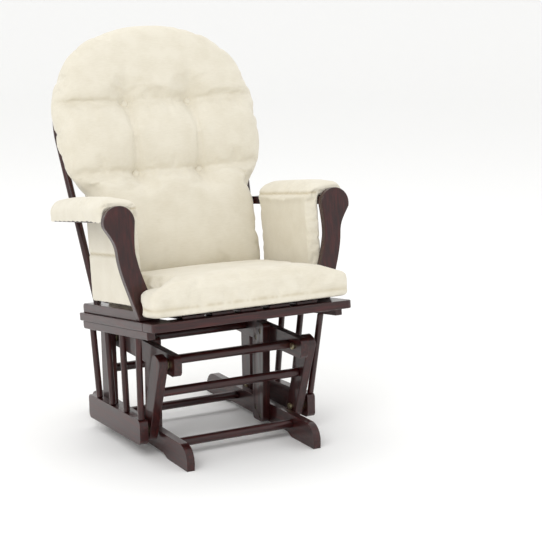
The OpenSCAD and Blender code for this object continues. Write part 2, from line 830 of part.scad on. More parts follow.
centred() arm_pad();  // arm_pad_left
centred() right() arm_pad();  // arm_pad_right
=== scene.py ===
"""Looks of a glider nursery chair: lacquered wood, zinc-plated fasteners and cream cushions."""
import json
import logging
from dataclasses import dataclass, field
from enum import Enum
from math import cos, pi, radians, sin
from typing import Any, Callable, Sequence

import bmesh
import bpy
import numpy as np
from numpy.typing import NDArray
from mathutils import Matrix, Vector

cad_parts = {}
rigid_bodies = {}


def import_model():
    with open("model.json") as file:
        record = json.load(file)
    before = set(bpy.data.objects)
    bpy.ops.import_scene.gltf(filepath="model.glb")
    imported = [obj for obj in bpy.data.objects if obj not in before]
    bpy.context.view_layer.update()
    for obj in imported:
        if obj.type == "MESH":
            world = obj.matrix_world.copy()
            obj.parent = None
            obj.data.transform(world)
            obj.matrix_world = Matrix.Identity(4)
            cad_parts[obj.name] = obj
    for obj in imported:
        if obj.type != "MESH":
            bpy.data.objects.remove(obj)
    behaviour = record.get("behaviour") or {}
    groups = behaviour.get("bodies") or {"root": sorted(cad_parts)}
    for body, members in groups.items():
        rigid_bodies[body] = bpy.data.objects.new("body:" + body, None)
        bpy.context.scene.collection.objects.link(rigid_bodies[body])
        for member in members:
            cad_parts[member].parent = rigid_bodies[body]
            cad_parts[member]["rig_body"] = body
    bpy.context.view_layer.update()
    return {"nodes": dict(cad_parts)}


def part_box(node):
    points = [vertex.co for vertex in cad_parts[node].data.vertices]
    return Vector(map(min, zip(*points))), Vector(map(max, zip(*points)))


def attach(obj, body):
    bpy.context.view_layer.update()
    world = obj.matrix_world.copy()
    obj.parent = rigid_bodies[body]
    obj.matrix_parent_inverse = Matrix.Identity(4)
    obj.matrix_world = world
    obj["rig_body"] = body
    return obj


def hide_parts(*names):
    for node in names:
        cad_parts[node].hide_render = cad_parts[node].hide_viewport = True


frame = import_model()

LOG = logging.getLogger("glider_chair")
Array = NDArray[np.float64]
MM = 0.001


# ---------------------------------------------------------------- small tools


def linear(hex_colour: str) -> tuple[float, float, float, float]:
    """Turns an sRGB hex colour into the linear RGBA that shaders use.

    Each channel c becomes c / 12.92 below 0.04045, and ((c + 0.055) / 1.055) ** 2.4 above it.

    Args:
        hex_colour: the colour, such as "#E8E2CF".

    Returns:
        Red, green, blue and an alpha of 1.
    """
    code = hex_colour.lstrip("#")
    channels = np.array([int(code[i:i + 2], 16) for i in (0, 2, 4)]) / 255
    curved = np.where(channels <= 0.04045, channels / 12.92, ((channels + 0.055) / 1.055) ** 2.4)
    return (float(curved[0]), float(curved[1]), float(curved[2]), 1.0)


def add_node(
    tree: bpy.types.NodeTree, kind: str, settings: dict[str | int, Any] | None = None,
    links: dict[str | int, bpy.types.NodeSocket] | None = None,
) -> bpy.types.Node:
    """Adds one node to a tree, with its settings and the links into it.

    Args:
        tree: the material's or the world's node tree.
        kind: the node's type name.
        settings: attributes by name, input values by socket name or number, and under "stops" a
            colour ramp's places and hex colours.
        links: the output socket that feeds each input, by socket name or number.

    Returns:
        The new node.
    """
    made = tree.nodes.new(kind)
    for name, value in (settings or {}).items():
        if name == "stops":
            elements = made.color_ramp.elements
            for element, (place, colour) in zip(elements, value):
                element.position = place
                element.color = linear(colour)
            for place, colour in value[len(elements):]:
                elements.new(place).color = linear(colour)
        elif isinstance(name, str) and hasattr(made, name):
            setattr(made, name, value)
        else:
            made.inputs[name].default_value = value
    for name, source in (links or {}).items():
        tree.links.new(source, made.inputs[name])
    return made


def make_mesh(name: str, points: Array, faces: Array) -> bpy.types.Object:
    """Makes a smooth mesh object at the origin from whole arrays.

    Args:
        name: the object's name.
        points: one row of x, y, z per vertex, in metres.
        faces: one row of vertex numbers per face.

    Returns:
        The object, linked to the scene.
    """
    mesh = bpy.data.meshes.new(name)
    mesh.from_pydata(points.tolist(), [], faces.tolist())
    mesh.shade_smooth()
    made = bpy.data.objects.new(name, mesh)
    bpy.context.scene.collection.objects.link(made)
    return made


def grid_faces(rows: int, columns: int, wrap: bool = False) -> Array:
    """Numbers the quads of a grid of points that is stored row by row.

    Args:
        rows: number of rows of points.
        columns: number of points in a row.
        wrap: whether the last point of a row joins its first.

    Returns:
        One row of four vertex numbers per quad.
    """
    across = np.arange(columns if wrap else columns - 1)
    i, j = np.meshgrid(np.arange(rows - 1), across, indexing="ij")
    k = (j + 1) % columns
    here, above = i * columns, (i + 1) * columns
    quads = np.stack([here + j, above + j, above + k, here + k], -1)
    return quads.reshape(-1, 4)


def tidy_mesh(made: bpy.types.Object, merge: float, flat_angle: float = 0.0) -> None:
    """Merges vertices that coincide, joins flat triangles, and points the faces outwards.

    Args:
        made: the object whose mesh is cleaned.
        merge: the distance under which vertices are merged, in metres.
        flat_angle: faces that meet at less than this angle in radians become one.
    """
    work = bmesh.new()
    work.from_mesh(made.data)
    bmesh.ops.remove_doubles(work, verts=work.verts, dist=merge)
    if flat_angle:
        bmesh.ops.dissolve_limit(work, angle_limit=flat_angle, verts=work.verts, edges=work.edges)
    bmesh.ops.recalc_face_normals(work, faces=work.faces)
    work.to_mesh(made.data)
    work.free()


def read_points(mesh: bpy.types.Mesh) -> Array:
    """Reads every vertex of a mesh as one row of x, y, z."""
    flat = np.empty(len(mesh.vertices) * 3, np.float32)
    mesh.vertices.foreach_get("co", flat)
    return flat.reshape(-1, 3).astype(float)


def write_points(mesh: bpy.types.Mesh, points: Array) -> None:
    """Writes every vertex of a mesh from one row of x, y, z each."""
    mesh.vertices.foreach_set("co", points.astype(np.float32).ravel())
    mesh.update()


def read_normals(mesh: bpy.types.Mesh) -> Array:
    """Reads every vertex normal of a mesh as one row of x, y, z."""
    flat = np.empty(len(mesh.vertices) * 3, np.float32)
    mesh.vertex_normals.foreach_get("vector", flat)
    return flat.reshape(-1, 3).astype(float)


def apply_modifiers(made: bpy.types.Object) -> None:
    """Replaces an object's mesh by what its modifiers make of it, and removes them."""
    graph = bpy.context.evaluated_depsgraph_get()
    mesh = bpy.data.meshes.new_from_object(made.evaluated_get(graph))
    made.modifiers.clear()
    made.data = mesh


def smoothstep(low: float, high: float, value: Array) -> Array:
    """Rises smoothly from 0 at low to 1 at high: t * t * (3 - 2 * t), with t clipped to 0 and 1."""
    t = np.clip((value - low) / (high - low), 0, 1)
    return t * t * (3 - 2 * t)


# -------------------------------------------------------------------- finishes


class Grain(Enum):
    """The direction that a board's grain runs in: the axis along which the pattern is stretched."""

    ACROSS = 0
    FORE_AFT = 1
    UPRIGHT = 2


@dataclass(frozen=True)
class LacqueredCherry:
    """Hardwood stained to a dark espresso cherry under sprayed satin lacquer.

    The stain hides most of the figure, so the grain shows as faint long streaks, and the clear
    coat gives soft highlights along rounded edges.
    """

    grain: Grain
    dark: str = "#1E0808"
    middle: str = "#300D0C"
    light: str = "#471613"
    streak_mm: float = 7.0
    streak_length: float = 14.0
    pore_mm: float = 1.4

    def build(self) -> bpy.types.Material:
        """Builds the material.

        The streaks are noise on Object coordinates. A Mapping node divides the coordinate along
        the grain by the streak's length over its width.

        Returns:
            The material.
        """
        material = bpy.data.materials.new(f"lacquered_cherry_{self.grain.name.lower()}")
        material.use_nodes = True
        tree = material.node_tree
        shader = tree.nodes["Principled BSDF"]
        place = add_node(tree, "ShaderNodeTexCoord").outputs["Object"]
        stretch = [1.0, 1.0, 1.0]
        stretch[self.grain.value] = 1 / self.streak_length
        along = add_node(tree, "ShaderNodeMapping", {"Scale": stretch}, {0: place}).outputs[0]
        streaks = add_node(
            tree, "ShaderNodeTexNoise",
            {"Scale": 1 / (self.streak_mm * MM), "Detail": 5.0, "Roughness": 0.6,
             "Distortion": 0.4},
            {"Vector": along},
        ).outputs["Fac"]
        pores = add_node(
            tree, "ShaderNodeTexNoise", {"Scale": 1 / (self.pore_mm * MM), "Detail": 2.0},
            {"Vector": along},
        ).outputs["Fac"]
        stops = [(0.3, self.dark), (0.75, self.light), (0.52, self.middle)]
        colour = add_node(tree, "ShaderNodeValToRGB", {"stops": stops}, {0: streaks}).outputs[0]
        tree.links.new(colour, shader.inputs["Base Color"])
        gloss = add_node(
            tree, "ShaderNodeMapRange", {"To Min": 0.3, "To Max": 0.44}, {"Value": streaks},
        ).outputs[0]
        tree.links.new(gloss, shader.inputs["Roughness"])
        bump = add_node(
            tree, "ShaderNodeBump", {"Strength": 0.12, "Distance": 0.0003}, {"Height": pores},
        ).outputs[0]
        tree.links.new(bump, shader.inputs["Normal"])
        shader.inputs["IOR"].default_value = 1.5
        shader.inputs["Coat Weight"].default_value = 0.45
        shader.inputs["Coat Roughness"].default_value = 0.07
        shader.inputs["Specular IOR Level"].default_value = 0.3
        return material


@dataclass(frozen=True)
class WovenMicrofibre:
    """Cream polyester microfibre, plain woven with a brushed face.

    The brushed face scatters light, so the folds stay soft and the edges glow slightly. Slubs in
    the yarn show as fine crosswise flecks.
    """

    base: str = "#DFD9C9"
    shade: str = "#D7D0BE"
    thread_mm: float = 1.6
    slub_mm: float = 3.0
    nap_mm: float = 45.0

    def build(self) -> bpy.types.Material:
        """Builds the material.

        The threads are two sets of bands at right angles, multiplied. They are drawn three times
        as coarse as the real thread spacing of 0.5 mm, which is too fine to show.

        Returns:
            The material.
        """
        material = bpy.data.materials.new("woven_microfibre")
        material.use_nodes = True
        tree = material.node_tree
        shader = tree.nodes["Principled BSDF"]
        place = add_node(tree, "ShaderNodeTexCoord").outputs["Object"]
        bands = [
            add_node(
                tree, "ShaderNodeTexWave",
                {"wave_type": "BANDS", "bands_direction": axis,
                 "Scale": 0.314 / (self.thread_mm * MM), "Distortion": 1.5, "Detail": 1.0,
                 "Detail Scale": 2.0},
                {"Vector": place},
            ).outputs["Fac"]
            for axis in ("X", "Z")
        ]
        weave = add_node(
            tree, "ShaderNodeMath", {"operation": "MULTIPLY"}, {0: bands[0], 1: bands[1]},
        ).outputs[0]
        drawn_out = {"Scale": (0.22, 1.0, 1.0)}
        flat = add_node(tree, "ShaderNodeMapping", drawn_out, {0: place}).outputs[0]
        slubs = add_node(
            tree, "ShaderNodeTexNoise", {"Scale": 1 / (self.slub_mm * MM), "Detail": 3.0},
            {"Vector": flat},
        ).outputs["Fac"]
        nap = add_node(
            tree, "ShaderNodeTexNoise", {"Scale": 1 / (self.nap_mm * MM), "Detail": 3.0},
            {"Vector": place},
        ).outputs["Fac"]
        mottle = add_node(
            tree, "ShaderNodeMath", {"operation": "MULTIPLY_ADD", 1: 0.55}, {0: slubs, 2: nap},
        ).outputs[0]
        stops = [(0.5, self.shade), (0.95, self.base)]
        cloth = add_node(tree, "ShaderNodeValToRGB", {"stops": stops}, {0: mottle}).outputs[0]
        # Painted shade along the seams: the seam attribute mixes a darker tan (#B9AC8E) into the
        # cloth in the grooves.
        seam_shade = add_node(tree, "ShaderNodeAttribute", {"attribute_name": "seam"}).outputs["Fac"]
        seam_shaded_cloth = add_node(
            tree, "ShaderNodeMix", {"data_type": "RGBA", 7: linear("#B9AC8E")},
            {0: seam_shade, 6: cloth},
        ).outputs[2]
        tree.links.new(seam_shaded_cloth, shader.inputs["Base Color"])
        height = add_node(
            tree, "ShaderNodeMath", {"operation": "MULTIPLY_ADD", 1: 0.6}, {0: slubs, 2: weave},
        ).outputs[0]
        bump = add_node(
            tree, "ShaderNodeBump", {"Strength": 0.35, "Distance": 0.0004}, {"Height": height},
        ).outputs[0]
        tree.links.new(bump, shader.inputs["Normal"])
        shader.inputs["Roughness"].default_value = 0.92
        shader.inputs["Specular IOR Level"].default_value = 0.25
        shader.inputs["Sheen Weight"].default_value = 0.25
        shader.inputs["Sheen Roughness"].default_value = 0.5
        return material


@dataclass(frozen=True)
class ZincPlate:
    """Mild steel with bright zinc plating and a yellow passivate: pale, slightly brassy, satin."""

    name: str = "zinc_plate"
    pale: str = "#C9C2A6"
    warm: str = "#A99C74"
    mottle_mm: float = 4.0

    def build(self) -> bpy.types.Material:
        """Builds the material: metal whose tint and roughness vary with a fine noise.

        Returns:
            The material.
        """
        material = bpy.data.materials.new(self.name)
        material.use_nodes = True
        tree = material.node_tree
        shader = tree.nodes["Principled BSDF"]
        place = add_node(tree, "ShaderNodeTexCoord").outputs["Object"]
        mottle = add_node(
            tree, "ShaderNodeTexNoise", {"Scale": 1 / (self.mottle_mm * MM), "Detail": 4.0},
            {"Vector": place},
        ).outputs["Fac"]
        stops = [(0.35, self.warm), (0.7, self.pale)]
        tint = add_node(tree, "ShaderNodeValToRGB", {"stops": stops}, {0: mottle}).outputs[0]
        tree.links.new(tint, shader.inputs["Base Color"])
        gloss = add_node(
            tree, "ShaderNodeMapRange", {"To Min": 0.22, "To Max": 0.42}, {"Value": mottle},
        ).outputs[0]
        tree.links.new(gloss, shader.inputs["Roughness"])
        shader.inputs["Metallic"].default_value = 1.0
        return material


@dataclass(frozen=True)
class StudioPaper:
    """Matt seamless background paper: almost white, with no shine."""

    colour: str = "#FBFBFA"

    def build(self) -> bpy.types.Material:
        """Builds the material.

        Returns:
            The material.
        """
        material = bpy.data.materials.new("studio_paper")
        material.use_nodes = True
        shader = material.node_tree.nodes["Principled BSDF"]
        shader.inputs["Base Color"].default_value = linear(self.colour)
        shader.inputs["Roughness"].default_value = 0.95
        shader.inputs["Specular IOR Level"].default_value = 0.1
        return material


# ---------------------------------------------------------------- shared frame


@dataclass
class DeckSpace:
    """The seat deck's tilted space, and the back's space that leans from it.

    Deck coordinates are x across, v back along the deck and w up from its top. Back coordinates
    are x across, n out of the back's rear and s up the back. All are in millimetres.
    """

    tilt: float = radians(8.1)
    lean: float = radians(13.4)
    height: float = 323.5
    back_v: float = 116.0
    back_w: float = 23.5
    feet_y: float = field(init=False)

    def __post_init__(self) -> None:
        """Finds the middle of the feet, from which y is counted in deck space."""
        low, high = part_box("foot_left")
        self.feet_y = (low.y + high.y) / 2

    def from_deck(self, x: Array, v: Array, w: Array) -> Array:
        """Turns deck coordinates into points in metres: a rotation by the tilt, then a shift."""
        y = v * cos(self.tilt) + w * sin(self.tilt)
        z = self.height - v * sin(self.tilt) + w * cos(self.tilt)
        return np.stack([x * MM, y * MM + self.feet_y, z * MM], -1)

    def to_deck(self, points: Array) -> tuple[Array, Array, Array]:
        """Turns points in metres into deck coordinates, the inverse of from_deck."""
        y = (points[:, 1] - self.feet_y) / MM
        z = points[:, 2] / MM - self.height
        v = y * cos(self.tilt) - z * sin(self.tilt)
        w = y * sin(self.tilt) + z * cos(self.tilt)
        return points[:, 0] / MM, v, w

    def from_back(self, x: Array, n: Array, s: Array) -> Array:
        """Turns back coordinates into points in metres: a rotation by the lean, then from_deck."""
        v = self.back_v + n * cos(self.lean) + s * sin(self.lean)
        w = self.back_w - n * sin(self.lean) + s * cos(self.lean)
        return self.from_deck(x, v, w)

    def to_back(self, points: Array) -> tuple[Array, Array, Array]:
        """Turns points in metres into back coordinates, the inverse of from_back."""
        x, v, w = self.to_deck(points)
        v = v - self.back_v
        w = w - self.back_w
        return x, v * cos(self.lean) - w * sin(self.lean), v * sin(self.lean) + w * cos(self.lean)


# ------------------------------------------------------------------- woodwork


@dataclass
class Woodwork:
    """Every wooden part, by the direction of its grain, with its arrises eased."""

    arris_mm: float = 2.4
    across: tuple[str, ...] = (
        "foot_stretcher_front", "foot_stretcher_rear", "top_stretcher_front", "top_stretcher_rear",
        "front_link_dowel", "rear_link_dowel", "deck_front_rail", "deck_rear_rail",
        "back_foot_rail",
    )
    fore_aft: tuple[str, ...] = (
        "foot_left", "foot_right", "top_rail_left", "top_rail_right", "lower_rail_left",
        "lower_rail_right", "apron_left", "apron_right", "deck_side_rail_left",
        "deck_side_rail_right", "seat_slats", "arm_base_left", "arm_base_right",
        "arm_board_left", "arm_board_right",
    )
    upright: tuple[str, ...] = (
        "post_left", "post_right", "front_link_left", "front_link_right", "rear_link_left",
        "rear_link_right", "spindles_left", "spindles_right", "arm_post_left", "arm_post_right",
        "back_bow", "back_spindles",
    )

    def build(self) -> list[bpy.types.Object]:
        """Makes a finished copy of each part and dresses it.

        Returns:
            The finished parts.
        """
        made = []
        for grain, names in zip(Grain, (self.across, self.fore_aft, self.upright)):
            material = LacqueredCherry(grain).build()
            made += [ease_edges(name, self.arris_mm, material) for name in names]
        return made


@dataclass
class Fasteners:
    """Bolts, screws and bearing washers; the post bolts take darker zinc as painted shade."""

    arris_mm: float = 1.0
    # Groups whose zinc is darkened as painted shade, for bolt heads that sit in shadow.
    painted_shade_names: tuple[str, ...] = ("post_bolts",)
    names: tuple[str, ...] = (
        "front_bearings", "front_pivot_bolts", "rear_bearings", "rear_pivot_bolts",
        "slat_screws", "arm_screws",
    )

    def build(self) -> list[bpy.types.Object]:
        """Makes a finished copy of each group of fasteners and dresses it.

        Returns:
            The finished groups.
        """
        bright = ZincPlate().build()
        # Same zinc plate, darker: painted shade for the recessed post bolts, not a different
        # plating.
        dark = ZincPlate("painted_shade_zinc_plate", "#6B6353", "#453F34").build()
        return [
            ease_edges(name, self.arris_mm, material)
            for material, names in ((bright, self.names), (dark, self.painted_shade_names))
            for name in names
        ]


def ease_edges(
    node: str, width_mm: float, material: bpy.types.Material,
) -> bpy.types.Object:
    """Copies a CAD part, rounds its sharp edges, and lets the copy stand for it.

    Args:
        node: the CAD part.
        width_mm: width of the rounding.
        material: the finish.

    Returns:
        The copy.
    """
    source = frame["nodes"][node]
    made = bpy.data.objects.new(f"{node}_eased", source.data.copy())
    bpy.context.scene.collection.objects.link(made)
    tidy_mesh(made, 1e-5, radians(0.8))
    made.data.materials.clear()
    made.data.materials.append(material)
    made.data.shade_smooth()
    made.data.set_sharp_from_angle(angle=radians(38))
    bevel = made.modifiers.new("eased_edges", "BEVEL")
    bevel.width = width_mm * MM
    bevel.segments = 3
    bevel.limit_method = "ANGLE"
    bevel.angle_limit = radians(40)
    bevel.harden_normals = True
    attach(made, source["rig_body"])
    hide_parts(node)
    LOG.info("eased %s", node)
    return made


# ------------------------------------------------------------------- cushions


@dataclass
class Stuffing:
    """How a cushion is blown up: a cloth simulation whose movement is capped."""

    cap_mm: float
    pressure: float = 4.0
    slack: float = 0.03
    bending: float = 0.6
    voxel_mm: float = 6.0
    frames: int = 20

    def blow_up(self, made: bpy.types.Object, held: Callable[[Array], Array]) -> None:
        """Remeshes a closed form evenly, inflates it and applies the result.

        Each point's movement d becomes d * min(1, cap / length of d).

        Args:
            made: the closed form.
            held: gives, for each point, how firmly it is held in place, from 0 to 1.
        """
        remesh = made.modifiers.new("even_mesh", "REMESH")
        remesh.mode = "VOXEL"
        remesh.voxel_size = self.voxel_mm * MM
        remesh.use_smooth_shade = True
        apply_modifiers(made)
        rest = read_points(made.data)
        weights = held(rest)
        group = made.vertex_groups.new(name="held")
        for level in np.unique(np.round(weights, 1)):
            chosen = np.flatnonzero(np.round(weights, 1) == level).tolist()
            if level > 0:
                group.add(chosen, float(level), "REPLACE")
        cloth = made.modifiers.new("cloth", "CLOTH")
        settings = cloth.settings
        settings.quality = 5
        settings.mass = 0.2
        settings.tension_stiffness = 15
        settings.compression_stiffness = 15
        settings.shear_stiffness = 5
        settings.bending_stiffness = self.bending
        settings.use_pressure = True
        settings.uniform_pressure_force = self.pressure
        settings.shrink_min = -self.slack
        settings.effector_weights.gravity = 0
        settings.vertex_group_mass = "held"
        cloth.collision_settings.use_collision = False
        cloth.point_cache.frame_start = 1
        cloth.point_cache.frame_end = self.frames
        scene = bpy.context.scene
        for number in range(1, self.frames + 1):
            scene.frame_set(number)
        apply_modifiers(made)
        scene.frame_set(1)
        moved = read_points(made.data) - rest
        length = np.linalg.norm(moved, axis=1, keepdims=True)
        share = np.minimum(1, self.cap_mm * MM / np.maximum(length, 1e-9))
        write_points(made.data, rest + moved * share)


def finish_cushion(
    made: bpy.types.Object, material: bpy.types.Material, seam: Array, body: str,
    nodes: Sequence[str],
) -> None:
    """A seam of strength q moves its points inwards along their normals by q times 3.5 mm, and 0.8
    * q is stored for the painted shade in that groove.

    Args:
        made: the blown-up cushion.
        material: its cloth.
        seam: strength of the seam at each point, from 0 to 1.
        body: the body that it rides on.
        nodes: the CAD parts that it stands for.
    """
    points = read_points(made.data)
    write_points(made.data, points - read_normals(made.data) * (3.5 * MM * seam)[:, None])
    # The seam attribute drives the painted shade that the cloth puts into the seam grooves.
    attribute = made.data.attributes.new("seam", "FLOAT", "POINT")
    attribute.data.foreach_set("value", (0.8 * seam).astype(np.float32))
    subdivide = made.modifiers.new("subdivide", "SUBSURF")
    subdivide.levels = 1
    subdivide.render_levels = 1
    apply_modifiers(made)
    made.data.materials.clear()
    made.data.materials.append(material)
    made.data.shade_smooth()
    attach(made, body)
    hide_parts(*nodes)
    LOG.info("cushion %s has %d faces", made.name, len(made.data.polygons))


@dataclass
class SeatCushion:
    """The T-shaped seat cushion: a boxed pad whose ears wrap in front of the arm posts."""

    space: DeckSpace
    bottom: float = 10.4
    ear_v: float = -209.5
    post_x: float = 205.0
    rail_x: float = 217.4
    crown: float = 9.0
    front_drop: float = 9.0
    held_w: float = 14.0
    pressed_w: float = 78.6
    pressed_v: float = 30.0
    seam_w: float = 31.0

    def build(self, material: bpy.types.Material) -> bpy.types.Object:
        """Makes the cushion.

        The CAD solid is remeshed, its corners are relaxed and its top is raised by
        crown * (1 - (x / 260) ** 2) * (1 - (v / 300) ** 4). It is then blown up, pressed flat
        on the slats, and pressed down under the back cushion: behind pressed_v its top stays at
        pressed_w, and in front of that the top may rise by 0.6 per unit of distance.

        Args:
            material: its cloth.

        Returns:
            The cushion.
        """
        made = bpy.data.objects.new("seat_cushion_soft", frame["nodes"]["seat_cushion"].data.copy())
        bpy.context.scene.collection.objects.link(made)
        tidy_mesh(made, 1e-5)
        remesh = made.modifiers.new("even_mesh", "REMESH")
        remesh.mode = "VOXEL"
        remesh.voxel_size = 6 * MM
        relax = made.modifiers.new("relax", "SMOOTH")
        relax.factor = 0.5
        relax.iterations = 14
        apply_modifiers(made)
        x, v, w = self.space.to_deck(read_points(made.data))
        height = np.clip((w - self.bottom) / 68, 0, 1)
        lift = self.crown * (1 - (x / 260) ** 2) * (1 - np.clip((v + 100) / 300, -1, 1) ** 4)
        drop = self.front_drop * smoothstep(-215, -299, v)
        write_points(made.data, self.space.from_deck(x, v, w + height * (lift - drop)))
        Stuffing(cap_mm=14).blow_up(made, self.held)
        x, v, w = self.space.to_deck(read_points(made.data))
        w = np.clip(w, self.bottom, self.pressed_w + 0.6 * np.maximum(0, self.pressed_v - v))
        behind = v > self.ear_v
        beside = behind & (v < -185)
        x = np.where(beside, np.clip(x, -self.post_x, self.post_x), x)
        x = np.where(behind & (w < 26), np.clip(x, -self.rail_x, self.rail_x), x)
        at_post = (np.abs(x) > self.post_x) & (v > self.ear_v - 12) & (v < -190)
        v = np.where(at_post, np.minimum(v, self.ear_v), v)
        write_points(made.data, self.space.from_deck(x, v, w))
        edge = smoothstep(-286, -292, v) + smoothstep(245, 251, np.abs(x)) * (v < -205)
        seam = np.exp(-(((w - self.seam_w) / 3) ** 2)) * np.clip(edge, 0, 1)
        finish_cushion(made, material, seam, "seat", ["seat_cushion"])
        return made

    def held(self, points: Array) -> Array:
        """Holds the cushion's underside, where it rests on the slats."""
        return np.where(self.space.to_deck(points)[2] < self.held_w, 1.0, 0.0)


@dataclass
class BackCushion:
    """The back cushion: a round-topped pad with four buttons, sewn across at both rows."""

    space: DeckSpace
    top: float = 706.0
    middle: float = 454.0
    half_width: float = 286.0
    foot: float = 30.0
    rest_w: float = 80.4
    depth: float = -50.0
    front: float = 42.0
    rear: float = 39.0
    button_x: float = 89.0
    rows: tuple[float, float] = (309.0, 492.0)
    button_r: float = 10.5
    button_rise: float = 5.0

    def half_width_at(self, s: Array) -> Array:
        """Half the cushion's width at height s.

        Above the middle it is a superellipse of power 2.35. Below, it narrows towards the arms and
        stays between their pads.
        """
        high = np.clip((s - self.middle) / (self.top - self.middle), 0, 1)
        round_top = self.half_width * (1 - high ** 2.35) ** (1 / 2.35)
        taper = 20 * smoothstep(self.middle - 40, 290, s)
        squeeze = 34 * smoothstep(335, 250, s)
        return round_top - taper - squeeze

    def outline(self, angle: Array) -> tuple[Array, Array]:
        """The outline at each angle about the cushion's centre.

        s is centre + reach * sin(angle), with the sine raised to the power 0.85 to keep the
        corners full, and x is the half width there. In the lower half x is also scaled by
        cos(angle) to the power 0.07.
        """
        centre = (self.top + self.foot) / 2
        reach = (self.top - self.foot) / 2
        rise = np.sign(np.sin(angle)) * np.abs(np.sin(angle)) ** 0.85
        s = centre + reach * rise
        corner = np.abs(np.cos(angle)) ** 0.07
        x = np.sign(np.cos(angle)) * np.where(rise > 0, 1, corner) * self.half_width_at(s)
        return x, s

    def draw_in(self, x: Array, s: Array) -> Array:
        """How far the front face is drawn in, in mm, by the buttons and the sewn channels.

        Each button pulls in by 34 * exp(-distance / 24). Each row's channel adds
        15 * exp(-distance / 9), and bows up slightly towards the sides. Creases run between the
        two rows and fade out above and below.
        """
        drawn = np.zeros_like(x)
        for row in self.rows:
            for side in (-1, 1):
                away = np.hypot(x - side * self.button_x, s - row)
                drawn += 34 * np.exp(-away / 24)
            line = row + 10 * np.clip((np.abs(x) - self.button_x) / 190, 0, 1) ** 1.5
            drawn += 15 * np.exp(-np.abs(s - line) / 9)
        low, high = self.rows
        for side in (-1, 1):
            away = np.abs(x - side * self.button_x)
            between = smoothstep(low - 90, low, s) * smoothstep(high + 150, high, s)
            drawn += 11 * between * np.exp(-away / 12)
        return drawn

    def build(self, material: bpy.types.Material) -> bpy.types.Object:
        """Makes the cushion.

        Front and rear faces share the outline. At a share r of the way to it, the half thickness
        is the full one times (1 - r ** 5) ** 0.5 in front, and (1 - r ** 9) ** 0.5 behind.

        Args:
            material: its cloth.

        Returns:
            The cushion.
        """
        angle = np.linspace(0, 2 * pi, 220, endpoint=False)
        share = np.sin(np.linspace(0, pi / 2, 70))
        r, a = np.meshgrid(share, angle, indexing="ij")
        edge_x, edge_s = self.outline(a)
        centre = (self.top + self.foot) / 2
        x = r * edge_x
        s = centre + r * (edge_s - centre)
        inside = (1 - r ** 5) ** 0.5
        n_front = self.depth - self.front * inside + np.minimum(self.draw_in(x, s), 44) * inside
        n_rear = self.depth + self.rear * (1 - r ** 9) ** 0.5
        points = np.concatenate([
            self.space.from_back(x, n_front, s).reshape(-1, 3),
            self.space.from_back(x, n_rear, s).reshape(-1, 3),
        ])
        faces = grid_faces(len(share), len(angle), wrap=True)
        both = np.concatenate([faces, faces + len(points) // 2])
        made = make_mesh("back_cushion_soft", points, both)
        tidy_mesh(made, 1e-6)
        Stuffing(cap_mm=14, slack=0.035, voxel_mm=6.6).blow_up(made, self.held)
        x, n, s = self.space.to_back(read_points(made.data))
        points = self.space.from_back(x, np.minimum(n, -10.2), s)
        x, v, w = self.space.to_deck(points)
        write_points(made.data, self.space.from_deck(x, v, np.maximum(w, self.rest_w)))
        seam = np.zeros(len(x))
        finish_cushion(made, material, seam, "seat", ["back_cushion"])
        return made

    def held(self, points: Array) -> Array:
        """Holds the cushion firmly at the buttons, softly along the channels, and on its rear."""
        x, n, s = self.space.to_back(points)
        hold = np.where(n > -16, 0.6, 0.0)
        for row in self.rows:
            hold = np.maximum(hold, 0.5 * (np.abs(s - row) < 7) * (n < -30))
            for side in (-1, 1):
                away = np.hypot(x - side * self.button_x, s - row)
                hold = np.maximum(hold, 1.0 * ((away < 12) & (n < -20)))
        return hold

    def build_buttons(
        self, cushion: bpy.types.Object, material: bpy.types.Material,
    ) -> bpy.types.Object:
        """Makes the four covered buttons, each a dome on the bottom of its dimple.

        A button is a profile turned about the dimple's axis: at a share t of the way from crown to
        rim, the radius is button_r * sin(t * 90 degrees) and the height button_rise *
        cos(t * 90 degrees).

        Args:
            cushion: the finished cushion, which gives the bottom of each dimple.
            material: its cloth.

        Returns:
            One object with all four.
        """
        x, n, s = self.space.to_back(read_points(cushion.data))
        rings, sides = 9, 28
        t, turn = np.meshgrid(
            np.linspace(0.02, 1, rings), np.linspace(0, 2 * pi, sides, endpoint=False),
            indexing="ij",
        )
        points, faces = [], []
        for row in self.rows:
            for side in (-1, 1):
                near = (np.hypot(x - side * self.button_x, s - row) < 8) & (n < -20)
                floor = float(np.median(n[near]))
                radius = self.button_r * np.sin(t * pi / 2)
                dome = floor - self.button_rise * np.cos(t * pi / 2)
                faces.append(grid_faces(rings, sides, wrap=True) + len(points) * t.size)
                points.append(self.space.from_back(
                    side * self.button_x + radius * np.cos(turn), dome, row + radius * np.sin(turn),
                ).reshape(-1, 3))
        made = make_mesh("covered_buttons", np.concatenate(points), np.concatenate(faces))
        work = bmesh.new()
        work.from_mesh(made.data)
        bmesh.ops.holes_fill(work, edges=[e for e in work.edges if e.is_boundary], sides=0)
        bmesh.ops.recalc_face_normals(work, faces=work.faces)
        work.to_mesh(made.data)
        work.free()
        made.data.materials.append(material)
        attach(made, "seat")
        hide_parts("cushion_buttons")
        return made


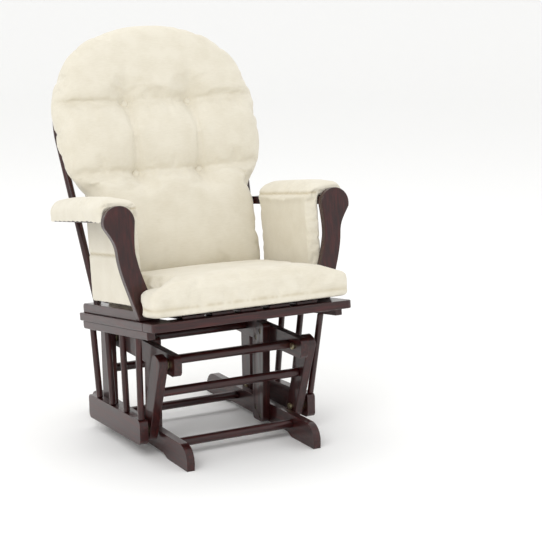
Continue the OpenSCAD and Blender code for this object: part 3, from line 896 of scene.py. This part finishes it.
@dataclass
class ArmPads:
    """The arm pads: each hangs over its arm board, short outside and down to the deck inside."""

    space: DeckSpace
    board_x: float = 255.8
    board_outer_x: float = 307.8
    clear: float = 1.4
    board_w: float = 253.6
    panel_x: float = 246.5
    flap_x: float = 319.0
    panel_foot: float = 31.0
    flap_foot: float = 228.0
    top_w: float = 268.5
    bend_in_x: float = 261.0
    bend_out_x: float = 305.0
    bend_w: float = 253.0
    front_v: float = -187.0
    panel_rear: float = 89.0
    top_rear: float = 142.0

    def middle_line(self, count: int) -> tuple[Array, Array, Array, Array, Array]:
        """The line that runs through the pad's thickness, seen from the front.

        It rises up the panel, turns a quarter ellipse over each edge of the board and drops down
        the flap.

        Args:
            count: number of points, evenly spaced along the line.

        Returns:
            x and w of each point, the x and w of the unit normal away from the board, and the
            distance along the line.
        """
        turn = np.linspace(0, pi / 2, 12)
        rise = self.top_w - self.bend_w
        inner_r = self.bend_in_x - self.panel_x
        outer_r = self.flap_x - self.bend_out_x
        x = np.concatenate([
            [self.panel_x], self.bend_in_x - inner_r * np.cos(turn),
            self.bend_out_x + outer_r * np.sin(turn), [self.flap_x],
        ])
        w = np.concatenate([
            [self.panel_foot], self.bend_w + rise * np.sin(turn),
            self.bend_w + rise * np.cos(turn), [self.flap_foot],
        ])
        along = np.concatenate([[0], np.cumsum(np.hypot(np.diff(x), np.diff(w)))])
        even = np.linspace(0, along[-1], count)
        x, w = np.interp(even, along, x), np.interp(even, along, w)
        dx, dw = np.gradient(x), np.gradient(w)
        length = np.hypot(dx, dw)
        return x, w, -dw / length, dx / length, even

    def build_side(self, side: int, material: bpy.types.Material) -> bpy.types.Object:
        """Makes one pad.

        Both faces stand off the middle line by the half thickness, which falls to zero at every
        edge as sqrt(1 - (1 - d / round) ** 2), with d the distance to the edge.

        Args:
            side: 1 for the sitter's left, -1 for the right.
            material: its cloth.

        Returns:
            The pad.
        """
        x, w, nx, nw, along = self.middle_line(110)
        share = np.linspace(0, 1, 90)
        rear = self.panel_rear + (self.top_rear - self.panel_rear) * smoothstep(264, 282, x)
        v = self.front_v + (rear - self.front_v)[:, None] * share[None, :]
        full = 10.5 + 5 * smoothstep(235, 262, w) - 8.5 * smoothstep(306, self.flap_x, x)
        total = along[-1]
        edge_a = np.minimum(along, total - along)[:, None]
        edge_v = np.minimum(v - self.front_v, rear[:, None] - v)
        round_off = np.sqrt(1 - (1 - np.clip(edge_a / 8, 0, 1)) ** 2)
        round_off = round_off * np.sqrt(1 - (1 - np.clip(edge_v / 20, 0, 1)) ** 2)
        half = full[:, None] * round_off
        faces = grid_faces(len(x), len(share))
        sheets = [
            self.space.from_deck(
                side * (x[:, None] + way * half * nx[:, None]), v,
                w[:, None] + way * half * nw[:, None],
            ).reshape(-1, 3)
            for way in (1, -1)
        ]
        name = "arm_pad_left_soft" if side > 0 else "arm_pad_right_soft"
        both = np.concatenate([faces, faces + len(sheets[0])])
        made = make_mesh(name, np.concatenate(sheets), both)
        tidy_mesh(made, 1e-5)
        Stuffing(cap_mm=9, slack=0.03, voxel_mm=4.0).blow_up(made, self.held)
        px, pv, pw = self.space.to_deck(read_points(made.data))
        ax = np.abs(px)
        outer = self.board_outer_x + self.clear
        over = (ax > self.board_x) & (ax < outer) & (pw > self.board_w - 8)
        pw = np.where(over, np.maximum(pw, self.board_w + 0.4), pw)
        beside = pw < self.board_w
        ax = np.where(beside & (ax < 285), np.minimum(ax, self.board_x - self.clear), ax)
        ax = np.where(beside & (ax >= 285), np.maximum(ax, outer), ax)
        pv = np.maximum(pv, self.front_v - 1.2)
        write_points(made.data, self.space.from_deck(side * ax, pv, pw))
        seam = np.exp(-(((pw - 150) / 3) ** 2)) * (ax > 250) * (pw < 230)
        seam = seam + np.exp(-(((pw - 262) / 3) ** 2)) * (ax < 250)
        node = name.removesuffix("_soft")
        finish_cushion(made, material, np.clip(seam, 0, 1), "seat", [node])
        return made

    def held(self, points: Array) -> Array:
        """Holds the pad's inside where it meets the board."""
        x, v, w = self.space.to_deck(points)
        inside = (np.abs(x) > self.board_x - 3) & (np.abs(x) < 313) & (w < self.board_w + 3)
        return np.where(inside, 1.0, 0.0)


# --------------------------------------------------------------------- studio


@dataclass
class Studio:
    """Camera, floor and lights."""

    camera_from_feet: tuple[float, float, float] = (-1.6514, -3.332, 1.190)
    camera_down: float = radians(12.19)
    camera_turn: float = radians(-29.11)
    lens_mm: float = 97.6

    def build_camera(self, feet_y: float) -> None:
        """Places the camera.

        Args:
            feet_y: y of the middle of the feet.
        """
        data = bpy.data.cameras.new("camera")
        data.lens = self.lens_mm
        data.sensor_width = 36
        camera = bpy.data.objects.new("camera", data)
        x, y, z = self.camera_from_feet
        camera.location = (x, y + feet_y, z)
        camera.rotation_euler = (pi / 2 - self.camera_down, 0, self.camera_turn)
        bpy.context.scene.collection.objects.link(camera)
        bpy.context.scene.camera = camera

    def build_floor(self) -> None:
        """Makes a floor that sweeps up into a wall.

        The profile is level, then a quarter circle of 3 m radius, then upright, and it is carried
        along a straight line of 60 m.
        """
        turn = np.linspace(0, pi / 2, 24)
        depth = np.concatenate([[-20, 0], 9 + 3 * np.sin(turn), [12]])
        height = np.concatenate([[0, 0], 3 - 3 * np.cos(turn), [14]])
        across = np.linspace(-30, 30, 5)
        x, y = np.meshgrid(across, depth, indexing="ij")
        z = np.broadcast_to(height, x.shape)
        turned = np.stack([
            x * cos(self.camera_turn) - y * sin(self.camera_turn),
            x * sin(self.camera_turn) + y * cos(self.camera_turn), z,
        ], -1)
        floor = make_mesh("studio_floor", turned.reshape(-1, 3), grid_faces(5, len(depth)))
        floor.data.materials.append(StudioPaper().build())

    def build_lights(self) -> None:
        """Adds a large key light, a fill, a light from behind and an even sky."""
        for name, place, size, power in (
            ("key", (-2.8, -2.2, 3.2), 2.0, 46.0),
            ("fill", (3.2, -2.4, 2.2), 2.8, 10.0),
            ("top", (0.2, 1.6, 3.6), 2.4, 24.0),
        ):
            data = bpy.data.lights.new(name, "AREA")
            data.size = size
            data.energy = power
            light = bpy.data.objects.new(name, data)
            light.location = place
            aim = np.array([0, 0, 0.5]) - np.array(place)
            tip = float(np.arctan2(np.hypot(aim[0], aim[1]), -aim[2]))
            light.rotation_euler = (tip, 0, float(np.arctan2(-aim[0], aim[1])))
            bpy.context.scene.collection.objects.link(light)
        world = bpy.data.worlds.new("sky")
        world.use_nodes = True
        world.node_tree.nodes["Background"].inputs["Color"].default_value = linear("#FFFFFF")
        world.node_tree.nodes["Background"].inputs["Strength"].default_value = 0.97
        bpy.context.scene.world = world
        bpy.context.scene.view_settings.view_transform = "Standard"


def main() -> None:
    """Builds the studio, the woodwork, the fasteners and the cushions, in that order."""
    logging.basicConfig(level=logging.INFO, format="%(name)s: %(message)s")
    space = DeckSpace()
    studio = Studio()
    studio.build_camera(space.feet_y)
    studio.build_floor()
    studio.build_lights()
    LOG.info("finished %d wooden parts", len(Woodwork().build()))
    LOG.info("finished %d groups of fasteners", len(Fasteners().build()))
    cloth = WovenMicrofibre().build()
    SeatCushion(space).build(cloth)
    back = BackCushion(space)
    back.build_buttons(back.build(cloth), cloth)
    pads = ArmPads(space)
    for side in (1, -1):
        pads.build_side(side, cloth)


if __name__ == "__main__":
    main()
